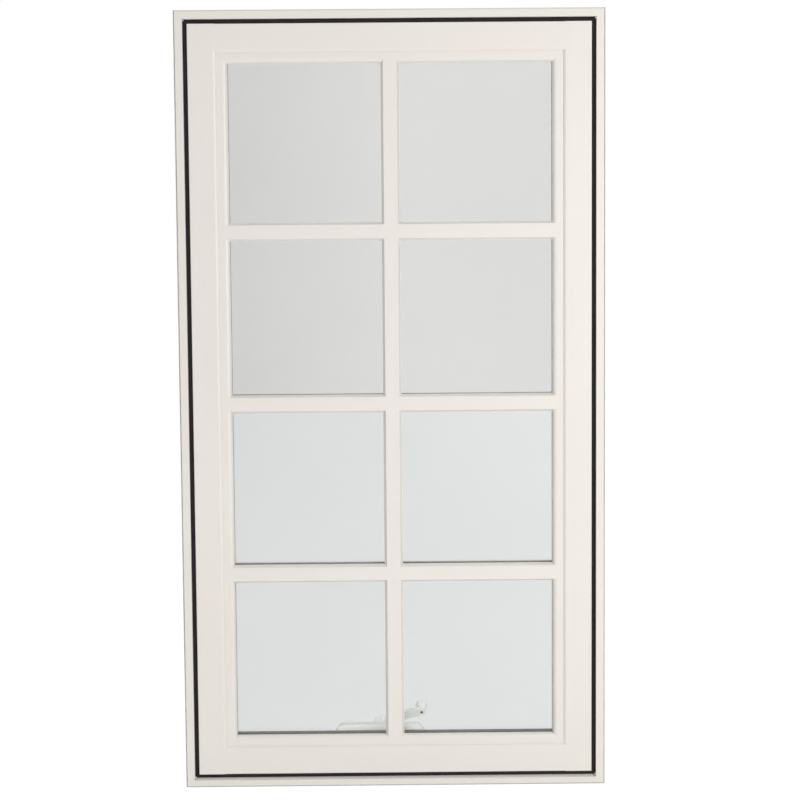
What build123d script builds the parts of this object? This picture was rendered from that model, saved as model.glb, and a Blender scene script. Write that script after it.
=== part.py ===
import os
from math import radians, tan

from build123d import *

# A crank-out window, closed: one side-hung sash with double glazing in a wood frame.
# The outside faces -Y and up is +Z. The origin is the middle of the frame's footprint.

# Frame members
frame_width = 610.0
frame_height = 1118.0
frame_depth = 116.0
frame_face = 12.7
frame_board = 19.0
frame_pocket = 50.0
frame_edge_round = 3.0
frame_lip_round = 1.0
sill_nose = 10.5

# Installation screw holes through the jambs
screw_radius = 2.5
screw_from_end = 150.0
screw_from_room = 14.0

# Stops that the sash closes against, fixed round the room side of the frame
stop_thickness = 12.7
stop_depth = 38.0
stop_round = 3.0

# Weatherstrips in the gap round the sash
seal_gap = 6.35
seal_setback = 7.0
seal_depth = 8.0
seal_round = 2.5

# Sash members, with a moulding of a step, a band and a quarter round towards the glass
sash_setback = 2.0
sash_thickness = 44.5
sash_flat = 36.0
sash_edge_round = 1.5
step_width = 4.5
step_drop = 3.0
band_width = 9.0
ovolo_width = 6.0
glass_drop = 10.0
glass_land = 1.5
rabbet_width = 9.5

# Double glazing
pane_thickness = 3.0
pane_clearance = 2.0
pane_lift = 1.4
air_gap = 13.0
spacer_inset = 1.0
spacer_width = 6.5

# Glazing beads on the room side
bead_width = 7.0
bead_depth = 14.5
bead_round = 5.0

# Glazing bars, stuck to both faces of the glass, and shadow bars between the panes.
# The lights at the head and foot of the sash are a little taller than those between them.
bar_width = 25.5
bar_bevel = 3.0
bar_land = 1.5
bar_rows = 3
end_light_extra = 4.2
inner_bar_rise = 9.0
inner_bar_round = 5.0
shadow_bar_width = 22.0

# Hinges: a track on the frame and an arm under the sash, at the head and at the sill
track_length = 300.0
track_width = 18.0
track_thickness = 2.5
track_slot_width = 6.0
track_slot_margin = 12.0
track_from_jamb = 12.0
arm_length = 230.0
arm_width = 16.0
hinge_from_pocket = 20.0

# Crank gear on the sill stop
gear_offset = -22.0
cover_length = 170.0
cover_top_length = 118.0
cover_corner_round = 10.0
cover_depth = 32.0
cover_height = 46.0
cover_slope = 14.0
cover_edge_chamfer = 1.5
boss_radius = 11.0
boss_height = 5.0
crank_tilt = 30.0
crank_turn = -14.0
hub_radius = 8.5
hub_height = 14.0
crank_reach = 64.0
crank_rise = 4.0
crank_bend = 14.0
crank_thickness = 5.5
eye_radius = 6.5
knob_radius = 9.0
knob_neck = 5.5
knob_height = 15.0
knob_skirt = 9.0
knob_crown = 2.5
rivet_radius = 2.5

# Lock on the right stop
lock_height = 330.0
lock_plate_length = 120.0
lock_plate_width = 22.0
lock_plate_thickness = 4.0
lock_plate_chamfer = 1.5
lock_boss_radius = 8.0
lock_boss_height = 6.0
lever_length = 78.0
lever_thickness = 5.0
lever_lift = 7.0
lever_bend = 20.0
lever_tip_radius = 5.5

# Places that several pieces share
outside_y = -frame_depth / 2
stop_y = outside_y + frame_pocket
sash_y = outside_y + sash_setback
glass_y = sash_y + glass_drop
air_y = glass_y + pane_thickness
inner_pane_y = air_y + air_gap
bead_y = inner_pane_y + pane_thickness
sash_inset = frame_face + seal_gap
sash_width = frame_width - 2 * sash_inset
sash_bottom = sash_inset
sash_top = frame_height - sash_inset
member_width = sash_flat + step_width + band_width + ovolo_width
rabbet_inset = member_width - rabbet_width
pane_inset = rabbet_inset + pane_clearance
spacer_reach = pane_inset + spacer_inset + spacer_width
bead_reach = rabbet_inset + bead_width
pane_width = sash_width - 2 * pane_inset
pane_height = sash_top - sash_bottom - 2 * pane_inset
middle_z = frame_height / 2
sight_height = sash_top - sash_bottom - 2 * member_width
row_pitch = (sight_height + bar_width - 2 * end_light_extra) / (bar_rows + 1)
row_names = ["lower", "middle", "upper"]

os.makedirs("parts", exist_ok=True)


def side_planes(inset, face_y, lift):
    """Section planes for the four sides of a rectangle that lies inset from the frame's outside.

    The rectangle is raised by lift. On each plane X runs inwards from the rectangle's edge and
    Y runs from outside to inside.
    """
    half = frame_width / 2 - inset
    bottom = inset + lift
    top = frame_height - inset + lift
    return {
        "left": Plane(origin=(-half, face_y, bottom), x_dir=(1, 0, 0), z_dir=(0, 0, 1)),
        "right": Plane(origin=(half, face_y, top), x_dir=(-1, 0, 0), z_dir=(0, 0, -1)),
        "top": Plane(origin=(-half, face_y, top), x_dir=(0, 0, -1), z_dir=(1, 0, 0)),
        "bottom": Plane(origin=(half, face_y, bottom), x_dir=(0, 0, 1), z_dir=(-1, 0, 0)),
    }


def upright(section, plane, inset):
    """A full-height member with this section."""
    with BuildPart() as member:
        with BuildSketch(plane):
            add(section.sketch)
        extrude(amount=frame_height - 2 * inset)
    return member


def cross_member(section, plane, inset, butt, uprights):
    """A member between two uprights, cut back to where it meets them. Its blank starts at butt."""
    with BuildPart() as member:
        with BuildSketch(plane.offset(butt)):
            add(section.sketch)
        extrude(amount=frame_width - 2 * (inset + butt))
        for post in uprights:
            add(post.part, mode=Mode.SUBTRACT)
    return member


def surround(sections, inset, butt, face_y, names, lift=0.0):
    """Four members round a rectangle, as a dictionary by side."""
    planes = side_planes(inset, face_y, lift)
    members = {side: upright(sections[side], planes[side], inset) for side in ("left", "right")}
    posts = list(members.values())
    for side in ("top", "bottom"):
        members[side] = cross_member(sections[side], planes[side], inset, butt, posts)
    for side, name in names.items():
        members[side].part.label = name
    return members


def all_sides(section):
    """The same section on the four sides."""
    return {side: section for side in ("left", "right", "top", "bottom")}


def write(piece):
    """One file for one piece, named by its label."""
    export_step(piece.part, f"parts/{piece.part.label}.step")


# Frame: jambs run from top to bottom, and the head and sill fit between them.
# The face that shows outside is narrow, and the board is thicker behind the sash.
with BuildSketch() as frame_section:
    with BuildLine():
        Polyline(
            (0, 0),
            (frame_face, 0),
            (frame_face, frame_pocket),
            (frame_board, frame_pocket),
            (frame_board, frame_depth),
            (0, frame_depth),
            close=True,
        )
    make_face()
    corners = frame_section.vertices()
    fillet(corners.sort_by_distance((0, 0))[0], radius=frame_edge_round)
    fillet(corners.sort_by_distance((frame_face, 0))[0], radius=frame_lip_round)

# The sill's nose slopes outwards to shed water
with BuildSketch() as sill_section:
    with BuildLine():
        Polyline(
            (0, 0),
            (sill_nose, 0),
            (frame_face, seal_setback),
            (frame_face, frame_pocket),
            (frame_board, frame_pocket),
            (frame_board, frame_depth),
            (0, frame_depth),
            close=True,
        )
    make_face()
    corners = sill_section.vertices()
    fillet(corners.sort_by_distance((0, 0))[0], radius=frame_edge_round)
    fillet(corners.sort_by_distance((sill_nose, 0))[0], radius=frame_lip_round)

frame_sections = all_sides(frame_section) | {"bottom": sill_section}
frame_names = {"left": "left_jamb", "right": "right_jamb", "top": "head", "bottom": "sill"}
frame = surround(frame_sections, 0, frame_face / 2, outside_y, frame_names)

# The ends of the jambs are rounded like the outer edges of the head and sill
screw_y = frame_depth / 2 - screw_from_room
for side, jamb_x in (("left", -frame_width / 2), ("right", frame_width / 2)):
    with BuildPart() as jamb:
        add(frame[side].part)
        with BuildSketch(Plane(origin=(jamb_x, 0, middle_z), x_dir=(0, 1, 0), z_dir=(1, 0, 0))) as jamb_side:
            Rectangle(frame_depth, frame_height)
            fillet(jamb_side.vertices().group_by(Axis.X)[0], radius=frame_edge_round)
        extrude(amount=frame_board, both=True, mode=Mode.INTERSECT)
        for screw_z in (screw_from_end, frame_height - screw_from_end):
            with Locations(Plane(origin=(jamb_x, screw_y, screw_z), z_dir=(1, 0, 0))):
                Cylinder(screw_radius, 2 * frame_board, mode=Mode.SUBTRACT)
    jamb.part.label = frame_names[side]
    frame[side] = jamb
for member in frame.values():
    write(member)

# Stops: square strips with one rounded edge, on the room side of the pocket
with BuildSketch() as stop_section:
    Rectangle(stop_thickness, stop_depth, align=Align.MIN)
    fillet(stop_section.vertices().sort_by_distance((stop_thickness, stop_depth))[0], radius=stop_round)
stop_names = {"left": "left_stop", "right": "right_stop", "top": "head_stop", "bottom": "sill_stop"}
stops = surround(all_sides(stop_section), frame_board, stop_thickness / 2, stop_y, stop_names)
for member in stops.values():
    write(member)

# Weatherstrips: rubber with a rounded nose, squeezed between the frame and the sash
with BuildSketch() as seal_section:
    Rectangle(seal_gap, seal_depth, align=Align.MIN)
    nose = seal_section.vertices().group_by(Axis.Y)[0]
    fillet(nose, radius=seal_round)
seal_names = {side: f"{side}_weatherstrip" for side in ("left", "right", "top", "bottom")}
seal_y = outside_y + seal_setback
seals = surround(all_sides(seal_section), frame_face, seal_gap / 2, seal_y, seal_names)
for member in seals.values():
    write(member)

# Sash: stiles run from top to bottom and the rails are coped between them.
# From the flat face a rounded step drops to a band, and a quarter round runs down to the glass.
band_start = sash_flat + step_width
ovolo_start = band_start + band_width
with BuildSketch() as sash_section:
    with BuildLine():
        Line((0, 0), (sash_flat, 0))
        TangentArc((sash_flat, 0), (band_start, step_drop), tangent=(1, 0))
        Line((band_start, step_drop), (ovolo_start, step_drop))
        TangentArc((ovolo_start, step_drop), (member_width, glass_drop - glass_land), tangent=(1, 0))
        Polyline(
            (member_width, glass_drop - glass_land),
            (member_width, glass_drop),
            (rabbet_inset, glass_drop),
            (rabbet_inset, sash_thickness),
            (0, sash_thickness),
            (0, 0),
        )
    make_face()
    fillet(sash_section.vertices().sort_by_distance((0, 0))[0], radius=sash_edge_round)
    fillet(sash_section.vertices().sort_by_distance((0, sash_thickness))[0], radius=sash_edge_round)
sash_names = {"left": "left_stile", "right": "right_stile", "top": "top_rail", "bottom": "bottom_rail"}
sash = surround(all_sides(sash_section), sash_inset, sash_flat / 2, sash_y, sash_names)
for member in sash.values():
    write(member)

# Double glazing: two panes with spacer bars round their edges, raised a little in the sash by the
# packing under them
glazing_z = middle_z + pane_lift
for name, pane_y in (("outer_pane", glass_y), ("inner_pane", inner_pane_y)):
    with BuildPart() as pane:
        with BuildSketch(Plane(origin=(0, pane_y, glazing_z), x_dir=(1, 0, 0), z_dir=(0, -1, 0))):
            Rectangle(pane_width, pane_height)
        extrude(amount=-pane_thickness)
    pane.part.label = name
    write(pane)

with BuildSketch() as spacer_section:
    Rectangle(spacer_width, air_gap, align=Align.MIN)
spacer_names = {side: f"{side}_spacer" for side in ("left", "right", "top", "bottom")}
spacer_edge = sash_inset + pane_inset + spacer_inset
spacer_butt = spacer_width / 2
spacers = surround(all_sides(spacer_section), spacer_edge, spacer_butt, air_y, spacer_names, pane_lift)
for member in spacers.values():
    write(member)

# Glazing beads: strips with a quarter round, which hold the glass in from the room side
with BuildSketch() as bead_section:
    Rectangle(bead_width, bead_depth, align=Align.MIN)
    fillet(bead_section.vertices().sort_by_distance((bead_width, bead_depth))[0], radius=bead_round)
bead_names = {side: f"{side}_bead" for side in ("left", "right", "top", "bottom")}
bead_edge = sash_inset + rabbet_inset
bead_butt = (bead_width - bead_round) / 2
beads = surround(all_sides(bead_section), bead_edge, bead_butt, bead_y, bead_names)
for member in beads.values():
    write(member)

# Glazing bars. X on the section runs across the bar and Y runs from the glass outwards.
outer_bar_rise = glass_drop - step_drop
with BuildSketch() as outer_bar_section:
    with BuildLine():
        Polyline(
            (-bar_width / 2, 0),
            (bar_width / 2, 0),
            (bar_width / 2, bar_land),
            (bar_width / 2 - bar_bevel, outer_bar_rise),
            (-bar_width / 2 + bar_bevel, outer_bar_rise),
            (-bar_width / 2, bar_land),
            close=True,
        )
    make_face()

with BuildSketch() as inner_bar_section:
    with Locations((0, inner_bar_rise / 2)):
        Rectangle(bar_width, inner_bar_rise)
    fillet(inner_bar_section.vertices().group_by(Axis.Y)[-1], radius=inner_bar_round)

with BuildSketch() as shadow_bar_section:
    with Locations((0, air_gap / 2)):
        Rectangle(shadow_bar_width, air_gap)


def upright_plane(face_y, out, end_z):
    """Section plane of an upright bar on the face at face_y, with the bar rising along out."""
    return Plane(origin=(0, face_y, end_z), x_dir=(-out, 0, 0), z_dir=(0, 0, -1))


def row_plane(face_y, out, end_x, row):
    """Section plane of a row of bars on the face at face_y, with the bars rising along out."""
    row_z = middle_z + row_pitch * (row - (bar_rows - 1) / 2)
    return Plane(origin=(end_x, face_y, row_z), x_dir=(0, 0, out), z_dir=(-1, 0, 0))


def bar_grid(section, face_y, out, end_inset, surround_members, prefix):
    """An upright bar and the rows that meet it, coped to what surrounds the glass."""
    half = sash_width / 2 - end_inset
    top = sash_top - end_inset
    with BuildPart() as post:
        with BuildSketch(upright_plane(face_y, out, top)):
            add(section.sketch)
        extrude(amount=top - sash_bottom - end_inset)
        for side in ("top", "bottom"):
            add(surround_members[side].part, mode=Mode.SUBTRACT)
    post.part.label = f"{prefix}_upright_bar"
    bars = [post]
    for row, row_name in enumerate(row_names):
        with BuildPart() as row_bars:
            with BuildSketch(row_plane(face_y, out, half, row)):
                add(section.sketch)
            extrude(amount=2 * half)
            for side in ("left", "right"):
                add(surround_members[side].part, mode=Mode.SUBTRACT)
            add(post.part, mode=Mode.SUBTRACT)
        row_bars.part.label = f"{prefix}_{row_name}_bars"
        bars.append(row_bars)
    return bars


for bar in bar_grid(outer_bar_section, glass_y, -1, ovolo_start, sash, "outer"):
    write(bar)
for bar in bar_grid(inner_bar_section, bead_y, 1, bead_reach - bead_round, beads, "inner"):
    write(bar)

# Shadow bars: one lattice between the panes, from spacer to spacer
with BuildPart() as shadow_bars:
    with BuildSketch(upright_plane(air_y, 1, sash_top - spacer_reach + pane_lift)):
        add(shadow_bar_section.sketch)
    extrude(amount=sash_top - sash_bottom - 2 * spacer_reach)
    for row in range(bar_rows):
        with BuildSketch(row_plane(air_y, 1, sash_width / 2 - spacer_reach, row)):
            add(shadow_bar_section.sketch)
        extrude(amount=sash_width - 2 * spacer_reach)
shadow_bars.part.label = "shadow_bars"
write(shadow_bars)

# Hinges: a slotted steel track on the frame, and an arm on it that carries the sash.
# The sash is hung on its left side, seen from outside.
hinge_y = stop_y - hinge_from_pocket
track_x = -frame_width / 2 + frame_face + track_from_jamb
for end, seat_z, rise in (("bottom", frame_face, 1), ("top", frame_height - frame_face, -1)):
    with BuildPart() as track:
        with BuildSketch(Plane(origin=(track_x + track_length / 2, hinge_y, seat_z), z_dir=(0, 0, rise))):
            RectangleRounded(track_length, track_width, track_width / 4)
            SlotOverall(track_length - 2 * track_slot_margin, track_slot_width, mode=Mode.SUBTRACT)
        extrude(amount=track_thickness)
    track.part.label = f"{end}_hinge_track"
    write(track)

    arm_seat = seat_z + rise * track_thickness
    with BuildPart() as arm:
        with BuildSketch(Plane(origin=(track_x + arm_length / 2, hinge_y, arm_seat), z_dir=(0, 0, rise))):
            SlotOverall(arm_length, arm_width)
        extrude(amount=seal_gap - track_thickness)
    arm.part.label = f"{end}_hinge_arm"
    write(arm)

# Gear cover: a moulding on the sill stop, sloped towards the room, with a round boss for the spindle
cover_seat = frame_board + stop_thickness
cover_back = stop_y + (stop_depth - cover_depth) / 2
cover_front = cover_back + cover_depth
cover_top = cover_seat + cover_height
cover_end_x = gear_offset - cover_length / 2
slope_drop = cover_slope / tan(radians(crank_tilt))
slope_middle = Vector(gear_offset, cover_front - cover_slope / 2, cover_top - slope_drop / 2)
crank_axis = Vector(0, 1, 0).rotate(Axis.X, crank_tilt)
arm_direction = Vector(1, 0, 0).rotate(Axis((0, 0, 0), crank_axis), crank_turn)
crank_plane = Plane(origin=slope_middle, x_dir=arm_direction, z_dir=crank_axis)
with BuildPart() as gear_cover:
    with BuildSketch(Plane(origin=(cover_end_x, cover_back, cover_seat), x_dir=(0, 1, 0), z_dir=(1, 0, 0))):
        with BuildLine():
            Polyline(
                (0, 0),
                (cover_depth, 0),
                (cover_depth, cover_height - slope_drop),
                (cover_depth - cover_slope, cover_height),
                (0, cover_height),
                close=True,
            )
        make_face()
    extrude(amount=cover_length)
    cover_face = Plane(origin=(gear_offset, cover_front, cover_seat), x_dir=(1, 0, 0), z_dir=(0, -1, 0))
    with BuildSketch(cover_face) as front:
        with BuildLine():
            Polyline(
                (-cover_length / 2, 0),
                (cover_length / 2, 0),
                (cover_top_length / 2, cover_height),
                (-cover_top_length / 2, cover_height),
                close=True,
            )
        make_face()
        fillet(front.vertices().group_by(Axis.Y)[-1], radius=cover_corner_round)
    extrude(amount=cover_depth, mode=Mode.INTERSECT)
    chamfer(gear_cover.faces().sort_by(Axis.Z)[-1].edges().filter_by(Axis.X), length=cover_edge_chamfer)
    with BuildSketch(crank_plane):
        Circle(boss_radius)
    extrude(amount=boss_height)
gear_cover.part.label = "gear_cover"
write(gear_cover)

# Crank handle: a hub on the gear's spindle and a bent flat arm that rises to an eye for the knob
arm_low = boss_height + hub_height - crank_thickness / 2
arm_high = arm_low + crank_rise
arm_plane = Plane(origin=crank_plane.origin, x_dir=crank_plane.x_dir, z_dir=-crank_plane.y_dir)
eye_plane = crank_plane.offset(arm_high - crank_thickness / 2)
with BuildPart() as crank_handle:
    with BuildSketch(arm_plane):
        with BuildLine():
            FilletPolyline(
                (-hub_radius, arm_low),
                (crank_reach / 3, arm_low),
                (crank_reach * 2 / 3, arm_high),
                (crank_reach + eye_radius, arm_high),
                radius=crank_bend,
            )
        trace(line_width=crank_thickness)
    extrude(amount=hub_radius, both=True)
    with BuildSketch(crank_plane):
        Circle(hub_radius)
        with Locations((crank_reach, 0)):
            Circle(eye_radius)
        make_hull()
    extrude(amount=arm_high + crank_thickness, mode=Mode.INTERSECT)
    with BuildSketch(crank_plane.offset(boss_height)):
        Circle(hub_radius)
    extrude(amount=hub_height - crank_thickness)
    with BuildSketch(eye_plane):
        with Locations((crank_reach, 0)):
            Circle(rivet_radius)
    extrude(amount=crank_thickness, mode=Mode.SUBTRACT)
crank_handle.part.label = "crank_handle"
write(crank_handle)

# Crank knob: a tapered grip with a bevelled crown, and its rivet through the eye
knob_seat = eye_plane.offset(crank_thickness).from_local_coords((crank_reach, 0, 0))
knob_plane = Plane(origin=knob_seat, x_dir=crank_plane.x_dir, z_dir=-crank_plane.y_dir)
with BuildPart() as crank_knob:
    with BuildSketch(knob_plane):
        with BuildLine():
            Polyline(
                (0, -crank_thickness),
                (rivet_radius, -crank_thickness),
                (rivet_radius, 0),
                (knob_neck, 0),
                (knob_radius, knob_skirt),
                (knob_radius, knob_height - knob_crown),
                (knob_radius - knob_crown, knob_height),
                (0, knob_height),
                close=True,
            )
        make_face()
    revolve(axis=Axis(knob_seat, crank_plane.z_dir))
crank_knob.part.label = "crank_knob"
write(crank_knob)

# Lock: a plate on the right stop, and a lever that bends away from it and points down the jamb
stop_face_x = frame_width / 2 - frame_board - stop_thickness
lock_y = stop_y + stop_depth / 2
lock_plane = Plane(origin=(stop_face_x, lock_y, lock_height), x_dir=(0, 0, -1), z_dir=(-1, 0, 0))
lever_plane = Plane(origin=lock_plane.origin, x_dir=lock_plane.x_dir, z_dir=-lock_plane.y_dir)
with BuildPart() as lock_plate:
    with BuildSketch(lock_plane):
        SlotOverall(lock_plate_length, lock_plate_width)
    extrude(amount=lock_plate_thickness)
    chamfer(lock_plate.faces().sort_by(Axis.X)[0].edges(), length=lock_plate_chamfer)
lock_plate.part.label = "lock_plate"
write(lock_plate)

lever_low = lock_plate_thickness + lock_boss_height + lever_thickness / 2
lever_high = lever_low + lever_lift
with BuildPart() as lock_lever:
    with BuildSketch(lever_plane):
        with BuildLine():
            FilletPolyline(
                (-lock_boss_radius, lever_low),
                (lever_length / 4, lever_low),
                (lever_length / 2, lever_high),
                (lever_length + lever_tip_radius, lever_high),
                radius=lever_bend,
            )
        trace(line_width=lever_thickness)
    extrude(amount=lock_boss_radius, both=True)
    with BuildSketch(lock_plane):
        Circle(lock_boss_radius)
        with Locations((lever_length, 0)):
            Circle(lever_tip_radius)
        make_hull()
    extrude(amount=lever_high + lever_thickness, mode=Mode.INTERSECT)
    with BuildSketch(lock_plane.offset(lock_plate_thickness)):
        Circle(lock_boss_radius)
    extrude(amount=lock_boss_height)
lock_lever.part.label = "lock_lever"
write(lock_lever)
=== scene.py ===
import math

import bpy
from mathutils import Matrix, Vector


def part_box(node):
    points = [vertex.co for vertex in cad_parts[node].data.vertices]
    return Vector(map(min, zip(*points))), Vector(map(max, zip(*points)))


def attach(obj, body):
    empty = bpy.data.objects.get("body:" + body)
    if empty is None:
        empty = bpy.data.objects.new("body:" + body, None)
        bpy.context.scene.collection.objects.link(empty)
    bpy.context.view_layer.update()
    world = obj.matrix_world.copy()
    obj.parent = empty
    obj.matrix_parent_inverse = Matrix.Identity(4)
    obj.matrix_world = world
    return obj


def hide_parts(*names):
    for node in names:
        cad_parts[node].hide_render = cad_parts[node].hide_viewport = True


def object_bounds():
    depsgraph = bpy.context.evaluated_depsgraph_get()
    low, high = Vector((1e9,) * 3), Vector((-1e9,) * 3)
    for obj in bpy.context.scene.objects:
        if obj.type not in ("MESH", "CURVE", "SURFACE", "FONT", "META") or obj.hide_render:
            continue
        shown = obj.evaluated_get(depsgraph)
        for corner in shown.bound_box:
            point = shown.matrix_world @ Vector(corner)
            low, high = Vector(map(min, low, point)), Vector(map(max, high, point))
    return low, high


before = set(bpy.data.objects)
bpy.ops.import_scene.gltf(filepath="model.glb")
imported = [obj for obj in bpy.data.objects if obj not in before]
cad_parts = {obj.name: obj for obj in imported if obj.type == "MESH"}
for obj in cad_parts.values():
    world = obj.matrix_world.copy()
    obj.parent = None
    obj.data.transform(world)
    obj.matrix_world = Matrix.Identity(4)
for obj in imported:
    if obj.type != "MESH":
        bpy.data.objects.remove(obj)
cad_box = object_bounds()

# Frame: two jambs, a head and a sill of softwood, rebated for the sash and nailed at the corners,
# with stops nailed round the room side. All of it is sprayed with a satin off-white paint,
# through which the grain still shows faintly along each board. A grey line of painted shade runs
# round the outer arris at the front, fainter along the head, and stands in for the shade there.
frame_tone = (0.708, 0.681, 0.630, 1.0)
frame_shade = (0.686, 0.657, 0.602, 1.0)
frame_gloss = (0.28, 0.40)
grain_stretch = 0.04
coat_relief = 0.00006
# Painted shade on the outer arris: the width of the grey line, its colour, and how much of it the head
# gets.
shade_line_width = 0.0020
painted_shade_tone = (0.33, 0.325, 0.33, 1.0)
head_shade_share = 0.3


def new_group(name, inputs, outputs):
    """A shader node group with these sockets, and the nodes at its two ends."""
    group = bpy.data.node_groups.new(name, "ShaderNodeTree")
    for socket, kind in inputs.items():
        group.interface.new_socket(socket, in_out="INPUT", socket_type=kind)
    for socket, kind in outputs.items():
        group.interface.new_socket(socket, in_out="OUTPUT", socket_type=kind)
    return group, group.nodes.new("NodeGroupInput"), group.nodes.new("NodeGroupOutput")


def noise(tree, vector, scale, detail):
    """A cloudy value over the surface, from 0 to 1."""
    texture = tree.nodes.new("ShaderNodeTexNoise")
    texture.inputs["Scale"].default_value = scale
    texture.inputs["Detail"].default_value = detail
    tree.links.new(vector, texture.inputs["Vector"])
    return texture.outputs["Fac"]


def weigh(tree, first, second, share):
    """A mean of two values, with the second one's share given."""
    mix = tree.nodes.new("ShaderNodeMix")
    mix.inputs["Factor"].default_value = share
    tree.links.new(first, mix.inputs["A"])
    tree.links.new(second, mix.inputs["B"])
    return mix.outputs["Result"]


def spread(tree, value, low, high):
    """The middle of a cloudy value, spread between two sockets or numbers."""
    ranged = tree.nodes.new("ShaderNodeMapRange")
    ranged.inputs["From Min"].default_value = 0.3
    ranged.inputs["From Max"].default_value = 0.7
    tree.links.new(value, ranged.inputs["Value"])
    for socket, limit in (("To Min", low), ("To Max", high)):
        if isinstance(limit, float):
            ranged.inputs[socket].default_value = limit
        else:
            tree.links.new(limit, ranged.inputs[socket])
    return ranged.outputs["Result"]


def tint(tree, value, first, second):
    """A colour between two sockets or colours, by a value from 0 to 1."""
    # The colour sockets of a mix node come after those for values and vectors.
    mix = tree.nodes.new("ShaderNodeMix")
    mix.data_type = "RGBA"
    tree.links.new(value, mix.inputs["Factor"])
    for socket, colour in ((mix.inputs[6], first), (mix.inputs[7], second)):
        if isinstance(colour, tuple):
            socket.default_value = colour
        else:
            tree.links.new(colour, socket)
    return mix.outputs[2]


coat_sockets = {
    "Place": "NodeSocketVector",
    "Grain Place": "NodeSocketVector",
    "Tone": "NodeSocketColor",
    "Shade": "NodeSocketColor",
    "Smoothest": "NodeSocketFloat",
    "Roughest": "NodeSocketFloat",
}
coat_results = {"Colour": "NodeSocketColor", "Roughness": "NodeSocketFloat", "Height": "NodeSocketFloat"}
sprayed_coat, coat_in, coat_out = new_group("sprayed_coat", coat_sockets, coat_results)
drift = noise(sprayed_coat, coat_in.outputs["Place"], scale=5.0, detail=3.0)
grain = noise(sprayed_coat, coat_in.outputs["Grain Place"], scale=260.0, detail=4.0)
peel = noise(sprayed_coat, coat_in.outputs["Place"], scale=620.0, detail=2.0)
cloud = weigh(sprayed_coat, drift, grain, share=0.35)
cloud_share = spread(sprayed_coat, cloud, low=0.0, high=1.0)
coat_colour = tint(sprayed_coat, cloud_share, coat_in.outputs["Tone"], coat_in.outputs["Shade"])
gloss = weigh(sprayed_coat, drift, peel, share=0.5)
coat_roughness = spread(sprayed_coat, gloss, coat_in.outputs["Smoothest"], coat_in.outputs["Roughest"])
coat_height = weigh(sprayed_coat, peel, grain, share=0.35)
sprayed_coat.links.new(coat_colour, coat_out.inputs["Colour"])
sprayed_coat.links.new(coat_roughness, coat_out.inputs["Roughness"])
sprayed_coat.links.new(coat_height, coat_out.inputs["Height"])


def new_material(name):
    """A material with its node tree, its shader and the place on the piece that textures read."""
    material = bpy.data.materials.new(name)
    material.use_nodes = True
    tree = material.node_tree
    place = tree.nodes.new("ShaderNodeTexCoord").outputs["Object"]
    return material, tree, tree.nodes["Principled BSDF"], place


def stretched(tree, place, scale):
    """The place on the piece, stretched along one axis so that a texture runs that way."""
    mapping = tree.nodes.new("ShaderNodeMapping")
    mapping.inputs["Scale"].default_value = scale
    tree.links.new(place, mapping.inputs["Vector"])
    return mapping.outputs["Vector"]


def raise_surface(tree, shader, height, depth):
    """Relief on the shader's normal, as deep as given in metres."""
    bump = tree.nodes.new("ShaderNodeBump")
    bump.inputs["Distance"].default_value = depth
    tree.links.new(height, bump.inputs["Height"])
    tree.links.new(bump.outputs["Normal"], shader.inputs["Normal"])


def coated(name, tone, shade, smoothest, roughest, grain_scale):
    """A material with a sprayed coat over a surface whose grain is stretched by grain_scale."""
    material, tree, shader, place = new_material(name)
    coat = tree.nodes.new("ShaderNodeGroup")
    coat.node_tree = sprayed_coat
    coat.inputs["Tone"].default_value = tone
    coat.inputs["Shade"].default_value = shade
    coat.inputs["Smoothest"].default_value = smoothest
    coat.inputs["Roughest"].default_value = roughest
    tree.links.new(place, coat.inputs["Place"])
    tree.links.new(stretched(tree, place, grain_scale), coat.inputs["Grain Place"])
    tree.links.new(coat.outputs["Colour"], shader.inputs["Base Color"])
    tree.links.new(coat.outputs["Roughness"], shader.inputs["Roughness"])
    raise_surface(tree, shader, coat.outputs["Height"], coat_relief)
    return material


def reckon(tree, operation, first, second):
    """One sum on two values, of which the second may be a number."""
    node = tree.nodes.new("ShaderNodeMath")
    node.operation = operation
    tree.links.new(first, node.inputs[0])
    if isinstance(second, float):
        node.inputs[1].default_value = second
    else:
        tree.links.new(second, node.inputs[1])
    return node.outputs["Value"]


# Painted shade: a grey line on the outer arris at the front of the frame, broken up by noise and weaker
# along the head, where the rounded edge would turn into shade.
painted_arris_shade, arris_shade_in, arris_shade_out = new_group(
    "painted_arris_shade", {"Place": "NodeSocketVector"}, {"Painted Shade": "NodeSocketFloat"}
)
arris_shade_place = painted_arris_shade.nodes.new("ShaderNodeSeparateXYZ")
painted_arris_shade.links.new(arris_shade_in.outputs["Place"], arris_shade_place.inputs["Vector"])
off_middle = reckon(painted_arris_shade, "ABSOLUTE", arris_shade_place.outputs["X"], 0.0)
at_side = reckon(painted_arris_shade, "GREATER_THAN", off_middle, cad_box[1][0] - shade_line_width)
at_foot = reckon(painted_arris_shade, "LESS_THAN", arris_shade_place.outputs["Z"], cad_box[0][2] + shade_line_width)
at_head = reckon(painted_arris_shade, "GREATER_THAN", arris_shade_place.outputs["Z"], cad_box[1][2] - shade_line_width)
at_rim = reckon(painted_arris_shade, "MAXIMUM", at_side, at_foot)
at_rim = reckon(painted_arris_shade, "MAXIMUM", at_rim, reckon(painted_arris_shade, "MULTIPLY", at_head, head_shade_share))
jamb_low, jamb_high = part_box("left_jamb")
in_front = reckon(painted_arris_shade, "LESS_THAN", arris_shade_place.outputs["Y"], jamb_low[1] + shade_line_width)
shade_break_noise = noise(painted_arris_shade, arris_shade_in.outputs["Place"], scale=60.0, detail=3.0)
shade_break = spread(painted_arris_shade, shade_break_noise, low=0.75, high=1.0)
arris_shade = reckon(painted_arris_shade, "MULTIPLY", reckon(painted_arris_shade, "MULTIPLY", at_rim, in_front), shade_break)
painted_arris_shade.links.new(arris_shade, arris_shade_out.inputs["Painted Shade"])


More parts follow.
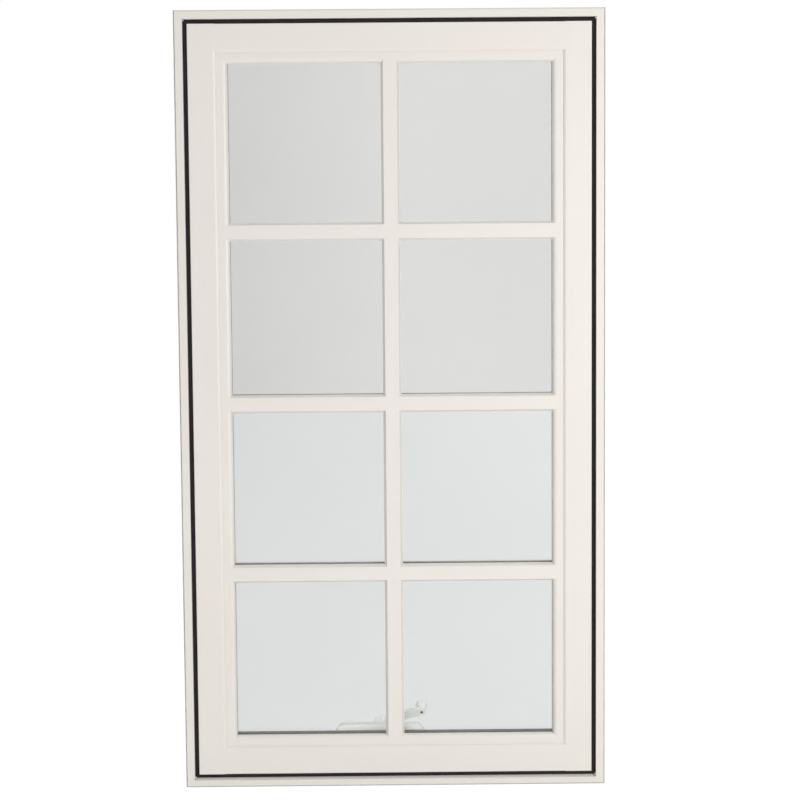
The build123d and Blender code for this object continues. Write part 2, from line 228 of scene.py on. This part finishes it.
def paint_arris_shade(material):
    """Mixes a painted grey shade line into the paint along the outer arris at the front of a frame
    board.
    """
    tree = material.node_tree
    base = tree.nodes["Principled BSDF"].inputs["Base Color"]
    paint = base.links[0].from_socket
    arris_shade_node = tree.nodes.new("ShaderNodeGroup")
    arris_shade_node.node_tree = painted_arris_shade
    tree.links.new(tree.nodes["Texture Coordinate"].outputs["Object"], arris_shade_node.inputs["Place"])
    tree.links.new(tint(tree, arris_shade_node.outputs["Painted Shade"], paint, painted_shade_tone), base)


def dress(material, *names):
    """Gives these CAD nodes a finish."""
    for name in names:
        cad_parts[name].material_slots[0].material = material


along_x = (grain_stretch, 1.0, 1.0)
along_z = (1.0, 1.0, grain_stretch)
frame_paint_upright = coated("frame_paint_upright", frame_tone, frame_shade, *frame_gloss, along_z)
frame_paint_across = coated("frame_paint_across", frame_tone, frame_shade, *frame_gloss, along_x)
# Both frame paints get the painted shade line on the outer arris.
paint_arris_shade(frame_paint_upright)
paint_arris_shade(frame_paint_across)
dress(frame_paint_upright, "left_jamb", "right_jamb", "left_stop", "right_stop")
dress(frame_paint_across, "head", "sill", "head_stop", "sill_stop")

# Corner fillets: filler pressed into the four inside corners of the frame, hollowed with a finger
# and painted over with the jambs. The weatherstrip bends round them.
fillet_radius = 0.0021
fillet_buried = 0.0022
fillet_front = 0.0006
fillet_depth = 0.0086
hollow_profile = 0.086
hollow_share = 0.98
fillet_smoothing = 40
strip_low, strip_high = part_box("left_weatherstrip")
corner_x = strip_low[0]
corner_z = strip_high[2]
middle_z = (jamb_low[2] + jamb_high[2]) / 2


def begin(name, add, **place):
    """A new piece from a primitive, alone in edit mode, with its place in its mesh."""
    bpy.ops.object.select_all(action="DESELECT")
    add(**place)
    piece = bpy.context.active_object
    piece.name = name
    bpy.ops.object.transform_apply(location=True, rotation=True, scale=True)
    bpy.ops.object.mode_set(mode="EDIT")
    return piece


def close(piece, material, smoothing):
    """Ends work on a piece: faces outwards, smooth up to an angle, with its finish and its body."""
    bpy.ops.mesh.select_all(action="SELECT")
    bpy.ops.mesh.remove_doubles(threshold=0.00001)
    bpy.ops.mesh.normals_make_consistent(inside=False)
    bpy.ops.object.mode_set(mode="OBJECT")
    bpy.ops.object.shade_smooth_by_angle(angle=math.radians(smoothing))
    piece.data.materials.clear()
    piece.data.materials.append(material)
    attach(piece, "root")


def copy_of(piece, name):
    """A copy of a finished piece with a mesh of its own, in edit mode and all of it selected."""
    bpy.ops.object.select_all(action="DESELECT")
    piece.select_set(True)
    bpy.context.view_layer.objects.active = piece
    bpy.ops.object.duplicate(linked=False)
    double = bpy.context.active_object
    double.name = name
    bpy.ops.object.mode_set(mode="EDIT")
    bpy.ops.mesh.select_all(action="SELECT")
    return double


facing_out = (math.pi / 2, 0.0, 0.0)
fillet_middle = (
    corner_x + fillet_radius / 2,
    jamb_low[1] + fillet_front,
    corner_z + (fillet_buried - fillet_radius) / 2,
)
top_left_fillet = begin(
    "top_left_fillet", bpy.ops.mesh.primitive_plane_add,
    size=1.0, location=fillet_middle, rotation=facing_out,
)
bpy.ops.mesh.select_all(action="SELECT")
bpy.ops.transform.resize(
    value=(fillet_radius, 1.0, fillet_radius + fillet_buried), center_override=fillet_middle
)
bpy.ops.object.mode_set(mode="OBJECT")
for vertex in top_left_fillet.data.vertices:
    vertex.select = vertex.co.x > fillet_middle[0] and vertex.co.z < fillet_middle[2]
bpy.ops.object.mode_set(mode="EDIT")
hollow_reach = fillet_radius * hollow_share
bpy.ops.mesh.bevel(offset=hollow_reach, segments=5, profile=hollow_profile, affect="VERTICES")
bpy.ops.mesh.select_all(action="SELECT")
bpy.ops.mesh.extrude_region_move(TRANSFORM_OT_translate={"value": (0.0, fillet_depth, 0.0)})
close(top_left_fillet, frame_paint_upright, fillet_smoothing)

across_axis = (True, False, False)
up_axis = (False, False, True)
for name, source, axis in (
    ("top_right_fillet", top_left_fillet, across_axis),
    ("bottom_left_fillet", top_left_fillet, up_axis),
):
    corner = copy_of(source, name)
    bpy.ops.transform.mirror(constraint_axis=axis, center_override=(0.0, 0.0, middle_z))
    close(corner, frame_paint_upright, fillet_smoothing)
corner = copy_of(corner, "bottom_right_fillet")
bpy.ops.transform.mirror(constraint_axis=across_axis, center_override=(0.0, 0.0, middle_z))
close(corner, frame_paint_upright, fillet_smoothing)

# Weatherstrips: one black rubber bulb, bent round the corners of the frame and pressed into a
# kerf, which the closed sash squeezes. It is extruded, so fine draw lines run along it.
rubber_tone = (0.012, 0.009, 0.011, 1.0)
rubber_bloom = (0.025, 0.019, 0.023, 1.0)
strip_inner_round = 0.0006
strip_nose = 0.0025
strip_smoothing = 50


def mottle(tree, shader, value, tone, shade, smoothest, roughest):
    """Colour and roughness that follow a cloudy value over the surface."""
    colour = tint(tree, spread(tree, value, low=0.0, high=1.0), tone, shade)
    tree.links.new(colour, shader.inputs["Base Color"])
    tree.links.new(spread(tree, value, low=smoothest, high=roughest), shader.inputs["Roughness"])


rubber, tree, shader, place = new_material("weatherstrip_rubber")
bloom = noise(tree, place, scale=40.0, detail=4.0)
draw_lines = noise(tree, stretched(tree, place, along_z), scale=1500.0, detail=2.0)
mottle(tree, shader, bloom, rubber_tone, rubber_bloom, smoothest=0.55, roughest=0.75)
shader.inputs["Specular IOR Level"].default_value = 0.25
raise_surface(tree, shader, draw_lines, depth=0.00005)


def strip_loop(name, low, high, width, outer_round, inner_round, depth, nose):
    """A closed strip round a rectangle, from its back face at the greater Y, with a rounded front."""
    middle = ((low[0] + high[0]) / 2, low[1] + depth, (low[2] + high[2]) / 2)
    loop = begin(name, bpy.ops.mesh.primitive_plane_add, size=1.0, location=middle, rotation=facing_out)
    for inset, round_off in ((0.0, outer_round), (width, inner_round)):
        if inset:
            bpy.ops.mesh.select_all(action="DESELECT")
            bpy.ops.mesh.primitive_plane_add(size=1.0, location=middle, rotation=facing_out)
        else:
            bpy.ops.mesh.select_all(action="SELECT")
        spans = (high[0] - low[0] - 2 * inset, 1.0, high[2] - low[2] - 2 * inset)
        bpy.ops.transform.resize(value=spans, center_override=middle)
        bpy.ops.mesh.bevel(offset=round_off, segments=4, affect="VERTICES")
        bpy.ops.mesh.delete(type="ONLY_FACE")
    bpy.ops.mesh.select_all(action="SELECT")
    bpy.ops.mesh.bridge_edge_loops()
    bpy.ops.mesh.extrude_region_move(TRANSFORM_OT_translate={"value": (0.0, -depth, 0.0)})
    bpy.ops.mesh.region_to_loop()
    bpy.ops.mesh.bevel(offset=nose, segments=4, affect="EDGES")
    return loop


strip_width = strip_high[0] - strip_low[0]
strip_depth = strip_high[1] - strip_low[1]
weatherstrip = strip_loop(
    "weatherstrip", (corner_x, strip_low[1], strip_low[2]), (-corner_x, strip_high[1], corner_z),
    strip_width, fillet_radius, strip_inner_round, strip_depth, strip_nose,
)
close(weatherstrip, rubber, strip_smoothing)
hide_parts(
    "left_weatherstrip", "right_weatherstrip", "top_weatherstrip", "bottom_weatherstrip"
)

# Sash: two stiles with the rails coped between them, run with a moulded edge towards the glass.
# The wood has the same satin paint as the frame, in a slightly pinker white.
sash_tone = (0.717, 0.683, 0.637, 1.0)
sash_shade = (0.695, 0.657, 0.611, 1.0)
sash_gloss = (0.26, 0.38)
sash_paint_upright = coated("sash_paint_upright", sash_tone, sash_shade, *sash_gloss, along_z)
sash_paint_across = coated("sash_paint_across", sash_tone, sash_shade, *sash_gloss, along_x)
dress(sash_paint_upright, "left_stile", "right_stile")
dress(sash_paint_across, "top_rail", "bottom_rail")

# Double glazing: two clear panes with a faint coating, sealed to spacer bars round their edges.
# Roller-made glass is never quite even, and wiping leaves a trace of haze on it.
glass_tone = (0.858, 0.860, 0.855, 1.0)
glass_haze = (0.848, 0.850, 0.845, 1.0)
light_tone = (0.96, 0.97, 0.96, 1.0)
glass, tree, shader, place = new_material("pane_glass")
haze = noise(tree, place, scale=7.0, detail=4.0)
mottle(tree, shader, haze, glass_tone, glass_haze, smoothest=0.0, roughest=0.015)
shader.inputs["Transmission Weight"].default_value = 1.0
shader.inputs["IOR"].default_value = 1.5
ray = tree.nodes.new("ShaderNodeLightPath")
unseen = tree.nodes.new("ShaderNodeMath")
unseen.operation = "MAXIMUM"
tree.links.new(ray.outputs["Is Shadow Ray"], unseen.inputs[0])
tree.links.new(ray.outputs["Is Diffuse Ray"], unseen.inputs[1])
straight_through = tree.nodes.new("ShaderNodeBsdfTransparent")
straight_through.inputs["Color"].default_value = light_tone
pane_light = tree.nodes.new("ShaderNodeMixShader")
tree.links.new(unseen.outputs["Value"], pane_light.inputs["Fac"])
tree.links.new(shader.outputs["BSDF"], pane_light.inputs[1])
tree.links.new(straight_through.outputs["BSDF"], pane_light.inputs[2])
tree.links.new(pane_light.outputs["Shader"], tree.nodes["Material Output"].inputs["Surface"])
dress(glass, "outer_pane", "inner_pane")

spacer_tone = (0.15, 0.15, 0.14, 1.0)
spacer_shade = (0.11, 0.11, 0.10, 1.0)
spacer_metal, tree, shader, place = new_material("spacer_metal")
dull = noise(tree, place, scale=300.0, detail=3.0)
mottle(tree, shader, dull, spacer_tone, spacer_shade, smoothest=0.45, roughest=0.65)
dress(spacer_metal, "left_spacer", "right_spacer", "top_spacer", "bottom_spacer")

# Shadow bars: flat tubes of spacer metal between the panes, as wide as the glazing bars in front of
# them, so that each light looks like a pane of its own. One upright runs through, and the rows are
# cut to fit between it and the spacer bars.
tube_edge = 0.0008
tube_smoothing = 40
lattice_low, lattice_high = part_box("shadow_bars")
upright_low, upright_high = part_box("outer_upright_bar")
half_bar = (upright_high[0] - upright_low[0]) / 2
row_boxes = [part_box(f"outer_{row}_bars") for row in ("lower", "middle", "upper")]
row_heights = [(low[2] + high[2]) / 2 for low, high in row_boxes]


def flat_tube(name, low, high):
    """A tube from one corner to the other, with its four long edges and its ends eased."""
    middle = ((low[0] + high[0]) / 2, high[1], (low[2] + high[2]) / 2)
    tube = begin(name, bpy.ops.mesh.primitive_plane_add, size=1.0, location=middle, rotation=facing_out)
    bpy.ops.mesh.select_all(action="SELECT")
    bpy.ops.transform.resize(value=(high[0] - low[0], 1.0, high[2] - low[2]), center_override=middle)
    bpy.ops.mesh.extrude_region_move(TRANSFORM_OT_translate={"value": (0.0, low[1] - high[1], 0.0)})
    bpy.ops.mesh.select_all(action="SELECT")
    bpy.ops.mesh.bevel(offset=tube_edge, segments=2, affect="EDGES")
    close(tube, spacer_metal, tube_smoothing)
    return tube


shadow_upright = flat_tube(
    "shadow_upright",
    (-half_bar, lattice_low[1], lattice_low[2]), (half_bar, lattice_high[1], lattice_high[2]),
)
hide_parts("shadow_bars")
row_low = (lattice_low[0], lattice_low[1], row_heights[0] - half_bar)
row_high = (-half_bar, lattice_high[1], row_heights[0] + half_bar)
first_row = flat_tube("shadow_row_lower_left", row_low, row_high)
for name, row_height in zip(("lower", "middle", "upper"), row_heights):
    rise = row_height - row_heights[0]
    for side, shift in (("left", 0.0), ("right", half_bar - lattice_low[0])):
        if rise or shift:
            row_tube = copy_of(first_row, f"shadow_row_{name}_{side}")
            bpy.ops.transform.translate(value=(shift, 0.0, rise))
            close(row_tube, spacer_metal, tube_smoothing)

# Glazing bars and beads: bars stuck to both faces of the glass, and strips pinned round the
# room side of it. They are moulded wood, painted with the sash.
dress(sash_paint_upright, "left_bead", "right_bead", "outer_upright_bar", "inner_upright_bar")
dress(sash_paint_across, "top_bead", "bottom_bead")
for row in ("lower", "middle", "upper"):
    dress(sash_paint_across, f"outer_{row}_bars", f"inner_{row}_bars")

# Glazing tape: grey foam tape that beds the moulding and the bars on the outer pane. A thin edge of it
# shows round each light, squeezed out a little and rounded by the pressure.
tape_show = 0.0005
tape_rise = 0.0005
tape_round = 0.00015
tape_smoothing = 40
tape_tone = (0.80, 0.80, 0.78, 1.0)
tape_shade = (0.74, 0.74, 0.72, 1.0)
tape_foam, tree, shader, place = new_material("tape_foam")
cells = noise(tree, place, scale=2400.0, detail=3.0)
mottle(tree, shader, cells, tape_tone, tape_shade, smoothest=0.70, roughest=0.90)
raise_surface(tree, shader, cells, depth=0.00008)
tape_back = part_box("outer_pane")[0][1]
stile_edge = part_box("left_stile")[1][0]
light_feet = [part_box("bottom_rail")[1][2]] + [high[2] for low, high in row_boxes]
light_heads = [low[2] for low, high in row_boxes] + [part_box("top_rail")[0][2]]


def light_tape(name, foot, head):
    """The tape round one light in the left column."""
    tape = strip_loop(
        name, (stile_edge, tape_back - tape_rise, foot), (-half_bar, tape_back, head),
        tape_show, tape_round, tape_round, tape_rise, tape_round,
    )
    close(tape, tape_foam, tape_smoothing)
    return tape


end_tape = light_tape("tape_1_left", light_feet[0], light_heads[0])
middle_tape = light_tape("tape_2_left", light_feet[1], light_heads[1])
tape_sources = ((1, end_tape, 0), (2, middle_tape, 1), (3, middle_tape, 1), (4, end_tape, 0))
for number, source, first in tape_sources:
    rise = light_feet[number - 1] - light_feet[first]
    for side, shift in (("left", 0.0), ("right", half_bar - stile_edge)):
        if rise or shift:
            tape = copy_of(source, f"tape_{number}_{side}")
            bpy.ops.transform.translate(value=(shift, 0.0, rise))
            close(tape, tape_foam, tape_smoothing)

# Hinges: stamped steel tracks and arms in the gap above and below the sash.
# The steel is left bright, with rolling marks along its length.
steel_tone = (0.62, 0.61, 0.59, 1.0)
steel_shade = (0.50, 0.49, 0.47, 1.0)
steel, tree, shader, place = new_material("hinge_steel")
rolling = noise(tree, stretched(tree, place, along_x), scale=900.0, detail=3.0)
mottle(tree, shader, rolling, steel_tone, steel_shade, smoothest=0.28, roughest=0.48)
shader.inputs["Metallic"].default_value = 1.0
raise_surface(tree, shader, rolling, depth=0.00003)
dress(steel, "bottom_hinge_track", "bottom_hinge_arm", "top_hinge_track", "top_hinge_arm")

# Crank gear and lock: the gear's cover and crank handle on the sill stop, and the lock's plate and
# lever on the side stop. They are die-cast zinc with a baked white enamel, and screwed on.
enamel_tone = (0.85, 0.85, 0.845, 1.0)
enamel_shade = (0.82, 0.82, 0.815, 1.0)
enamel_gloss = (0.22, 0.34)
grainless = (1.0, 1.0, 1.0)
enamel = coated("hardware_enamel", enamel_tone, enamel_shade, *enamel_gloss, grainless)
dress(enamel, "gear_cover", "crank_handle", "lock_plate", "lock_lever")

# Crank knob: the grip at the end of the crank handle, moulded in white plastic.
# A steel rivet through the crank's eye holds it, and it is free to spin.
knob_tone = (0.85, 0.85, 0.845, 1.0)
knob_shade = (0.81, 0.81, 0.805, 1.0)
knob_gloss = (0.30, 0.42)
knob_plastic = coated("knob_plastic", knob_tone, knob_shade, *knob_gloss, grainless)
dress(knob_plastic, "crank_knob")

# Knob rivet: the peened end of the steel pin that holds the knob, a low dome over the crank's eye
# on the side towards the glass. It is coloured near black.
rivet_place = (0.0401, 0.02743, 0.08773)
rivet_turn = math.radians(120)
rivet_reach = 0.0024
rivet_smoothing = 60
rivet_steps = ((0.0004, 0.0003), (0.0007, 0.0003), (0.0007, 0.0001))
rivet_tone = (0.030, 0.029, 0.028, 1.0)
rivet_shade = (0.075, 0.070, 0.065, 1.0)
rivet_steel, tree, shader, place = new_material("rivet_steel")
rivet_mottle = noise(tree, place, scale=900.0, detail=3.0)
mottle(tree, shader, rivet_mottle, rivet_tone, rivet_shade, smoothest=0.40, roughest=0.60)
shader.inputs["Metallic"].default_value = 1.0
raise_surface(tree, shader, rivet_mottle, depth=0.00004)
knob_rivet = begin(
    "knob_rivet", bpy.ops.mesh.primitive_circle_add, vertices=20, radius=rivet_reach, fill_type="NGON",
    location=rivet_place, rotation=(rivet_turn, 0.0, 0.0),
)
outwards = (0.0, -math.sin(rivet_turn), math.cos(rivet_turn))
bpy.ops.mesh.select_all(action="SELECT")
bpy.ops.mesh.extrude_region_move(
    TRANSFORM_OT_translate={"value": [rivet_steps[0][1] * part for part in outwards]}
)
for step_in, step_up in rivet_steps:
    bpy.ops.mesh.inset(thickness=step_in, depth=step_up)
close(knob_rivet, rivet_steel, rivet_smoothing)

# Studio: a plain white floor and surround, with large soft lights. Floor and surround show white to
# the camera and through the glass, and give less light than that to the window. A dark strip in
# the surround, left of the camera, shades the reflections in the left panes. The panes don't mirror
# the lights, and a small light for the crank alone makes up for what the glass takes from it.
floor_reach = 6.2
floor_whites = (0.96, 1.07)
floor_bright = 1.05
floor_grey = (0.78, 0.78, 0.78, 1.0)
floor_glow = 0.26
floor_tint = (0.985, 0.998, 1.0, 1.0)
floor_fade = 0.6
black = (0.0, 0.0, 0.0, 1.0)
bpy.ops.object.select_all(action="DESELECT")
bpy.ops.mesh.primitive_plane_add(size=2 * floor_reach, location=(0.0, 0.0, 0.0))
floor = bpy.context.active_object
floor.name = "studio_floor"
floor_paint, tree, shader, place = new_material("studio_floor")
shader.inputs["Roughness"].default_value = 0.9
shader.inputs["Specular IOR Level"].default_value = 0.0
shader.inputs["Emission Color"].default_value = floor_tint


ray = tree.nodes.new("ShaderNodeLightPath")
through = reckon(tree, "MAXIMUM", ray.outputs["Is Transmission Ray"], ray.outputs["Is Glossy Ray"])
seen = reckon(tree, "MAXIMUM", through, ray.outputs["Is Camera Ray"])
tree.links.new(tint(tree, seen, floor_grey, black), shader.inputs["Base Color"])
floor_side = tree.nodes.new("ShaderNodeSeparateXYZ")
tree.links.new(place, floor_side.inputs["Vector"])
floor_white = tree.nodes.new("ShaderNodeMapRange")
floor_white.inputs["From Min"].default_value = -floor_fade
floor_white.inputs["From Max"].default_value = floor_fade
floor_white.inputs["To Min"].default_value = floor_whites[0] - floor_glow
floor_white.inputs["To Max"].default_value = floor_whites[1] - floor_glow
tree.links.new(floor_side.outputs["X"], floor_white.inputs["Value"])
through_white = reckon(tree, "MULTIPLY", through, floor_white.outputs["Result"])
camera_white = reckon(tree, "MULTIPLY", ray.outputs["Is Camera Ray"], floor_bright - floor_glow)
seen_white = reckon(tree, "ADD", through_white, camera_white)
tree.links.new(reckon(tree, "ADD", seen_white, floor_glow), shader.inputs["Emission Strength"])
floor.data.materials.append(floor_paint)

surround_bands = (
    (-0.82, 0.12),
    (-0.72, 0.88),
    (-0.30, 0.88),
    (-0.25, 0.04),
    (-0.085, 0.04),
    (0.010, 0.84),
    (0.10, 0.84),
    (0.14, 0.98),
    (0.72, 0.98),
    (0.82, 0.12),
)
overhead_share = 1.50
overhead_start = 0.25
overhead_end = 0.90
world = bpy.data.worlds.new("studio")
bpy.context.scene.world = world
world.use_nodes = True
tree = world.node_tree
direction = tree.nodes.new("ShaderNodeSeparateXYZ")
tree.links.new(tree.nodes.new("ShaderNodeTexCoord").outputs["Generated"], direction.inputs["Vector"])
across = reckon(tree, "MULTIPLY", direction.outputs["X"], 0.5)
bands = tree.nodes.new("ShaderNodeValToRGB")
tree.links.new(reckon(tree, "ADD", across, 0.5), bands.inputs["Fac"])
band_stops = bands.color_ramp.elements
ready_stops = len(band_stops)
for index, (side, level) in enumerate(surround_bands):
    stop = band_stops[index] if index < ready_stops else band_stops.new(1.0)
    stop.position = (side + 1.0) / 2
    stop.color = (level, level, level, 1.0)
surround_light = tree.nodes["Background"]
tree.links.new(bands.outputs["Color"], surround_light.inputs["Color"])
overhead = tree.nodes.new("ShaderNodeMapRange")
overhead.inputs["From Min"].default_value = overhead_start
overhead.inputs["From Max"].default_value = overhead_end
overhead.inputs["To Min"].default_value = 1.0
overhead.inputs["To Max"].default_value = overhead_share
tree.links.new(direction.outputs["Z"], overhead.inputs["Value"])
tree.links.new(overhead.outputs["Result"], surround_light.inputs["Strength"])
surround_white = tree.nodes.new("ShaderNodeBackground")
surround_white.inputs["Color"].default_value = (1.0, 1.0, 1.0, 1.0)
surround = tree.nodes.new("ShaderNodeMixShader")
ray = tree.nodes.new("ShaderNodeLightPath")
unmirrored = reckon(tree, "LESS_THAN", ray.outputs["Glossy Depth"], 0.5)
through = reckon(tree, "MULTIPLY", ray.outputs["Is Transmission Ray"], unmirrored)
tree.links.new(reckon(tree, "MAXIMUM", through, ray.outputs["Is Camera Ray"]), surround.inputs["Fac"])
tree.links.new(surround_light.outputs["Background"], surround.inputs[1])
tree.links.new(surround_white.outputs["Background"], surround.inputs[2])
tree.links.new(surround.outputs["Shader"], tree.nodes["World Output"].inputs["Surface"])


def softbox(name, spot, aim, size, power):
    """A square soft light that shines from one place to another and isn't seen itself."""
    sideways, deep, up = (aim[axis] - spot[axis] for axis in range(3))
    level = math.hypot(sideways, deep)
    turn = (math.atan2(level, -up), 0.0, math.atan2(-sideways, deep))
    bpy.ops.object.light_add(type="AREA", location=spot, rotation=turn)
    light = bpy.context.active_object
    light.name = name
    light.data.size = size
    light.data.energy = power
    light.visible_camera = False
    light.visible_transmission = False
    return light


key_light = softbox("key_light", spot=(1.02, -1.72, 0.82), aim=(0.0, 0.0, 0.58), size=0.9, power=12.5)
room_light = softbox("room_light", spot=(-1.5, 1.9, 1.5), aim=(0.0, 0.0, 0.4), size=1.4, power=10.0)
crank_light = softbox(
    "crank_light", spot=(-0.25, -1.60, 0.62), aim=(0.0, 0.03, 0.07), size=0.6, power=19.0
)
crank_pieces = bpy.data.collections.new("lit_crank")
for name in ("gear_cover", "crank_handle", "crank_knob"):
    crank_pieces.objects.link(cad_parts[name])
crank_light.light_linking.receiver_collection = crank_pieces
unlit_panes = bpy.data.collections.new("unlit_panes")
for name in ("outer_pane", "inner_pane"):
    unlit_panes.objects.link(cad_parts[name])
for linked in unlit_panes.collection_objects:
    linked.light_linking.link_state = "EXCLUDE"
for light in (key_light, room_light):
    light.light_linking.receiver_collection = unlit_panes

# Camera: in front of the window and a little above its middle, looking slightly down.
# Its place, turn and lens were fitted to the outline of the window in the photograph.
camera_place = (-0.0067, -2.841, 0.809)
camera_turn = (84.98, 0.458, -0.400)
camera_lens = 87.75
sensor_width = 36.0
bpy.ops.object.camera_add(location=camera_place, rotation=[math.radians(angle) for angle in camera_turn])
camera = bpy.context.active_object
camera.data.sensor_width = sensor_width
camera.data.lens = camera_lens
bpy.context.scene.camera = camera
bpy.context.scene.view_settings.view_transform = "Standard"
